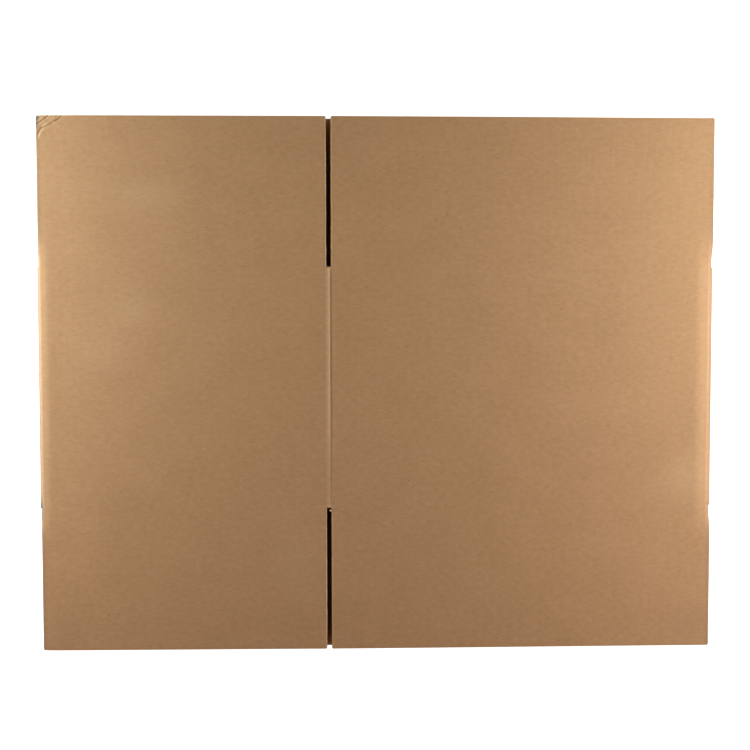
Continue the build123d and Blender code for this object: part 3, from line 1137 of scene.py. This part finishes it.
def slot_lip(cut, inward, first, last):
    """The points of one lip: a section that rolls over the edge, carried along the slot."""
    y = np.arange(first, last, LIP_STEP)
    tear, wave, lift = ragged(y, 1.1), ragged(y, 9.0), ragged(y, 2.3)
    tear = 0.5 * tear + 0.5 * np.cos(2 * pi * y / KNIFE_TOOTH)
    outer, inner = [], []
    for from_cut, depth in LIP_SECTION:
        rolled = step(-from_cut, -LIP_ROLL, 0.0)
        offset = from_cut - rolled * (LIP_TEAR * tear + LIP_WANDER * wave)
        along = cut + inward * offset
        face = outer_face(cut + inward * max(from_cut, 0.0), y)
        high = face + depth - LIP_LIFT * rolled * lift
        outer.append(fold(along, y, high))
        inner.append(fold(along + inward * LIP_PAPER * rolled, y, high + LIP_PAPER))
    outer, inner = np.array(outer), np.array(inner)
    return (outer, inner) if inward < 0 else (outer[::-1], inner[::-1])


lips = []
for side, cut, name in ((-1, LEFT_CUT, "left"), (1, RIGHT_CUT, "right")):
    for first, last, end in ((HIGH_END + 0.4, HALF - 1.0, "upper"),
                             (-HALF + 1.0, LOW_END - 0.4, "lower")):
        outer, inner = slot_lip(cut, side, first, last)
        lip = mesh_piece(f"{end}_slot_{name}_lip", *closed_sheet(outer, inner), outer[..., :2],
                         sharp=3.0)
        lip.data.materials.append(torn_paper if side < 0 else outer_paper)
        lips.append(lip)
pieces += lips

# %% [markdown]
# At the head of the lower slot a shred of liner is left hanging from the right side.

# %% The hanging shred
# The shred hangs fully, by 1, at its tip and not at all at its root.
hang, spread = np.meshgrid(np.linspace(1.0, 0.0, 7), np.linspace(-1.0, 1.0, 5), indexing="ij")
shred_along = RIGHT_CUT + 0.3 - 2.3 * hang
shred_y = LOW_END - 3.4 + spread * (0.95 - 0.55 * hang) + 0.6 * hang
shred_depth = 0.25 * hang + 0.5 * hang**2 - 0.12 * spread
shred = mesh_piece("hanging_shred", *closed_sheet(fold(shred_along, shred_y, shred_depth),
                                                  fold(shred_along, shred_y, shred_depth + 0.12)),
                   np.stack([shred_along, shred_y], axis=-1))
shred.data.materials.append(torn_paper)
pieces.append(shred)

# %% [markdown]
# ## Torn fibres
# Stray fibres stand out of the cut edges, and a few shreds of liner hang at the slots' ends.
# Hair would be heavy for so few. A Geometry Nodes tree sets bent fibres along the edges
# instead, each turned and sized by chance from a fixed seed.

# %% The tree of the torn fibres
fibres, given = new_tree("torn_fibres", True, "Fibres", (
    ("Count", "Int", 100), ("Longest", "Float", 1.2), ("Thickness", "Float", 0.05),
    ("Seed", "Int", 3),
))
edges = add(fibres, "GeometryNodeMeshToCurve", [given["Edges"]])
roots = add(fibres, "GeometryNodeCurveToPoints", {"Curve": edges, "Count": given["Count"]},
            mode="COUNT")
spread = add(fibres, "FunctionNodeRandomValue",
             {0: (-0.25, -1.0, -0.3), 1: (0.25, 1.0, 0.0), "Seed": given["Seed"]},
             data_type="FLOAT_VECTOR")
roots = add(fibres, "GeometryNodeSetPosition", {"Geometry": roots, "Offset": spread})
bent = add(fibres, "GeometryNodeCurveQuadraticBezier", {
    "Resolution": 4, "Start": (-0.5, 0, 0), "Middle": (0.05, 0.25, 0.12), "End": (0.5, 0, -0.08)})
ring = add(fibres, "GeometryNodeCurvePrimitiveCircle",
           {"Resolution": 3, "Radius": given["Thickness"]})
fibre = add(fibres, "GeometryNodeCurveToMesh",
            {"Curve": bent, "Profile Curve": ring, "Fill Caps": True})
seed_of_turns = add(fibres, "ShaderNodeMath", (given["Seed"], 1.0), operation="ADD")
seed_of_sizes = add(fibres, "ShaderNodeMath", (given["Seed"], 2.0), operation="ADD")
turn = add(fibres, "FunctionNodeRandomValue",
           {0: (0.0, -0.15, -1.1), 1: (6.28, 0.8, 1.1), "Seed": seed_of_turns},
           data_type="FLOAT_VECTOR")
size = add(fibres, "FunctionNodeRandomValue", {2: 0.35, 3: 1.0, "Seed": seed_of_sizes}, 1,
           data_type="FLOAT")
size = add(fibres, "ShaderNodeMath", (size, given["Longest"]), operation="MULTIPLY")
hairs = add(fibres, "GeometryNodeInstanceOnPoints",
            {"Points": roots, "Instance": fibre, "Rotation": turn, "Scale": size})
hairs = add(fibres, "GeometryNodeRealizeInstances", [hairs])
hairs = add(fibres, "GeometryNodeSetMaterial", {"Geometry": hairs, "Material": torn_paper})
fibres.links.new(hairs, fibres.nodes.new("NodeGroupOutput").inputs[0])
print("torn_fibres has", len(fibres.nodes), "nodes")

# %% [markdown]
# The tree needs edges to set its fibres along. Each is a line of the blank, folded to where
# it lies: the long edges of the crown's slots, and the short ones at the ends of all of
# them, which a knife tears most. Each line has its own number of fibres, and their size.

# %% The fibres on the cut edges
def edge_line(*stops):
    """A mesh of one line through places on the blank, given as (along, y, depth)."""
    along, y, depth = np.array(stops, float).T
    points = fold(along, y, depth)
    line = bpy.data.meshes.new("edge")
    steps = [(i, i + 1) for i in range(len(points) - 1)]
    line.from_pydata([tuple(point) for point in points], steps, [])
    return line


tight_cut, loose_cut = SHORT_START - upper_short.reach, LONG_END + upper_long.reach
# Each line has its two ends, its number of fibres, the longest and their thickness.
torn_lines = []
for cut in (LEFT_CUT, RIGHT_CUT):
    for first, last in ((HIGH_END, HALF - 1.5), (-HALF + 1.5, LOW_END)):
        torn_lines.append(((cut, first, 0.6), (cut, last, 0.6), 70, 1.1, 0.045))
for y, tilt in ((LOW_END, 5.0), (HIGH_END, -4.0)):
    torn_lines += [
        ((LEFT_CUT, y, 0.5), (RIGHT_CUT, y, 0.5), 14, 1.1, 0.045),
        ((tight_cut + 0.4, y, 1.0), (tight_cut + 0.4, y - tilt, 1.2), 16, 1.3, 0.05),
        ((loose_cut - 0.4, y, 1.0), (loose_cut - 0.4, y - tilt, 1.2), 14, 1.3, 0.05),
    ]
# The shreds: a few in the lower slot of the crown, and a few at the foot of the tight fold.
torn_lines += [
    ((RIGHT_CUT - 1.4, LOW_END - 2.0, 0.6), (RIGHT_CUT - 0.4, LOW_END - 3.6, 0.5), 4, 1.6, 0.2),
    ((tight_cut + 0.5, LOW_END + 0.5, 1.0), (tight_cut + 0.8, LOW_END - 10.0, 1.0), 7, 1.8, 0.22),
]
FIRST_SEED, SEED_STEP = 20, 5
shed = []
for number, (start, end, count, longest, thickness) in enumerate(torn_lines):
    hair = grown(fibres, edge_line(start, end), count=count, longest=longest,
                 thickness=thickness / longest, seed=FIRST_SEED + SEED_STEP * number)
    set_vertices(hair, vertices_of(hair))
    shed.append(hair)
torn_fibres = fused("torn_fibres", shed, torn_paper)
pieces.append(torn_fibres)

# %% [markdown]
# ## Into the frame
# Every piece rides on the carton's one body, and together they stand for the CAD carton,
# which is then hidden.

# %% Frame calls
for piece in pieces:
    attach(piece, "root")
    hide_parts("folded_box")
print(len(pieces), "pieces ride on the root")

# %% [markdown]
# ## Floor, light and camera
# The carton lies on a white sweep that is lit to pure white. Soft lights stand low at its
# two sides, and nothing hangs overhead. So the shoulders and the ridge catch the light, the
# slots stay black, and the middle is darker and warmer than the sides.

# %% The white floor
def plain(name, colour, roughness, glow=0.0):
    """A plain studio surface."""
    material = bpy.data.materials.new(name)
    material.use_nodes = True
    shader = material.node_tree.nodes["Principled BSDF"]
    shader.inputs["Base Color"].default_value = colour
    shader.inputs["Roughness"].default_value = roughness
    shader.inputs["Emission Color"].default_value = (1, 1, 1, 1)
    shader.inputs["Emission Strength"].default_value = glow
    return material


FLOOR_SIZE = 6.0
FLOOR_GLOW = 0.93
half_floor = FLOOR_SIZE / 2
floor_mesh = bpy.data.meshes.new("floor")
corners = [(half_floor * x, half_floor * y, 0.0) for x, y in ((-1, -1), (1, -1), (1, 1), (-1, 1))]
floor_mesh.from_pydata(corners, [], [(0, 1, 2, 3)])
floor = bpy.data.objects.new("floor", floor_mesh)
bpy.context.collection.objects.link(floor)
floor_mesh.materials.append(plain("white_sweep", linear("f4f4f4"), 0.9, FLOOR_GLOW))
print("the floor is", FLOOR_SIZE, "m wide")

# %% [markdown]
# A light that is near the carton falls off quickly across it, and one farther away evens
# that out. Each side has both, so the brightness drops from the folds to the crown as it
# does between two softboxes. The right side has two weaker ones more, one towards its low
# end and one higher up. The near lights are cooler than the far ones, so the sides are
# cooler than the middle.

# %% Soft lights at the sides
def soft_light(name, place, aim, width, height, power, colour):
    """A rectangular light at a place, turned to face a point."""
    light = bpy.data.objects.new(name, bpy.data.lights.new(name, "AREA"))
    light.data.shape = "RECTANGLE"
    light.data.size, light.data.size_y = width, height
    light.data.energy, light.data.color = power, colour
    light.location = place
    light.rotation_euler = (Vector(aim) - Vector(place)).to_track_quat("-Z", "Y").to_euler()
    bpy.context.collection.objects.link(light)
    return light


for name, place, aim, width, height, power, colour in (
    ("left_near", (-0.72, 0.20, 0.13), (-0.10, 0.10, 0.0), 0.5, 0.12, 8.2, (0.79, 0.98, 1.0)),
    ("left_far", (-1.30, -0.20, 0.35), (-0.10, -0.10, 0.0), 0.7, 0.5, 13.4, (1.0, 0.92, 0.87)),
    ("right_near", (0.62, 0.20, 0.28), (0.10, 0.10, 0.0), 0.5, 0.24, 3.3, (0.76, 0.97, 1.0)),
    ("right_low", (0.75, -0.35, 0.35), (0.10, -0.18, 0.0), 0.5, 0.3, 0.8, (0.8, 0.98, 1.0)),
    ("right_high", (0.85, 0.20, 0.55), (0.10, 0.10, 0.0), 0.6, 0.4, 2.4, (1.0, 0.93, 0.93)),
    ("right_far", (1.30, -0.20, 0.35), (0.10, -0.10, 0.0), 0.7, 0.5, 14.8, (1.0, 0.92, 0.89)),
):
    soft_light(name, place, aim, width, height, power, colour)
    print(f"{name}: {power} W")

# %% [markdown]
# The room behind is white where the camera sees it, and all but dark as a light, or it
# would reach down into the slots.

# %% The white room
world = bpy.data.worlds.new("white_room")
bpy.context.scene.world = world
world.use_nodes = True
world.node_tree.nodes.clear()
seen = add(world.node_tree, "ShaderNodeBackground", {"Color": (1, 1, 1, 1), "Strength": 1.0})
unseen = add(world.node_tree, "ShaderNodeBackground", {"Color": (1, 1, 1, 1), "Strength": 0.01})
to_camera = add(world.node_tree, "ShaderNodeLightPath", output="Is Camera Ray")
mixed = add(world.node_tree, "ShaderNodeMixShader", {0: to_camera, 1: unseen, 2: seen})
add(world.node_tree, "ShaderNodeOutputWorld", {"Surface": mixed})
print("the room is", world.name)

# %% [markdown]
# The camera looks straight down from about 0.9 m, a few degrees off square, so the near
# ends of the panels are a little narrower than the far ones.

# %% The camera
camera = bpy.data.objects.new("camera", bpy.data.cameras.new("camera"))
camera.data.sensor_width = 36.0
camera.data.lens = 41.25
camera.location = (-0.0240, 0.0432, 0.9)
camera.rotation_euler = (radians(-2.11), radians(-1.35), radians(-0.065))
bpy.context.collection.objects.link(camera)
bpy.context.scene.camera = camera
bpy.context.scene.view_settings.view_transform = "Standard"
print("the camera is", camera.location.z, "m up")
